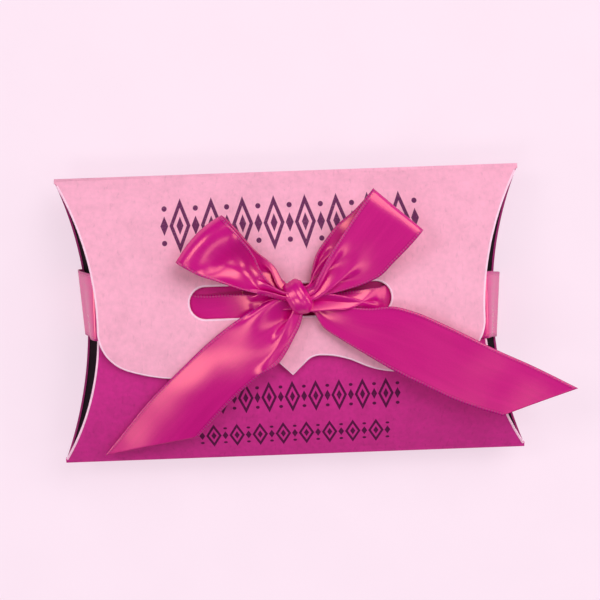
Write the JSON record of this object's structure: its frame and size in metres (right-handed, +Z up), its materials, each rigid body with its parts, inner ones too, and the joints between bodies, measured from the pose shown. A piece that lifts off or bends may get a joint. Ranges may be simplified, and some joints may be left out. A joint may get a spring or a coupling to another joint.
{
  "type": "pillow box",
  "caption": "Curved pillow box of folded card with hollow ends, a hinged closing flap and a satin ribbon tied in a bow through a slot in the flap.",
  "frame": {"origin": "on the surface that the box lies on, under the middle of the box, in the underside of the ribbon's back run", "axes": "+X along the creases to the right of the front, +Y from the bottom crease to the top crease, +Z up through the front"},
  "size_m": [0.0994, 0.0558, 0.0233],
  "materials": {
    "flap_card": "uncoated, pale pink",
    "front_card": "uncoated, deep pink",
    "back_card": "uncoated, deep pink",
    "end_card": "uncoated, near black",
    "satin_ribbon": "woven satin, magenta"
  },
  "bodies": {
    "box": {"back_panel": "back_card", "front_panel": "front_card", "bottom_crease": "front_card", "top_crease": "flap_card", "left_outer_end_flap": "end_card", "left_inner_end_flap": "end_card", "right_outer_end_flap": "end_card", "right_inner_end_flap": "end_card", "ribbon_back_run": "satin_ribbon", "ribbon_left_end_run": "satin_ribbon", "ribbon_right_end_run": "satin_ribbon", "ribbon_front_left_run": "satin_ribbon", "ribbon_front_right_run": "satin_ribbon"},
    "flap": {"closing_flap": "flap_card", "left_slot_strand": "satin_ribbon", "right_slot_strand": "satin_ribbon", "bow_knot": "satin_ribbon", "bow_left_loop": "satin_ribbon", "bow_right_loop": "satin_ribbon", "bow_left_tail": "satin_ribbon", "bow_right_tail": "satin_ribbon"}
  },
  "joints": [
    {"name": "flap_hinge", "type": "hinge", "parent": "box", "child": "flap", "pos_m": [0, 0.0275, 0.00715], "axis": [-1, 0, 0], "range_deg": [0, 120]}
  ]
}
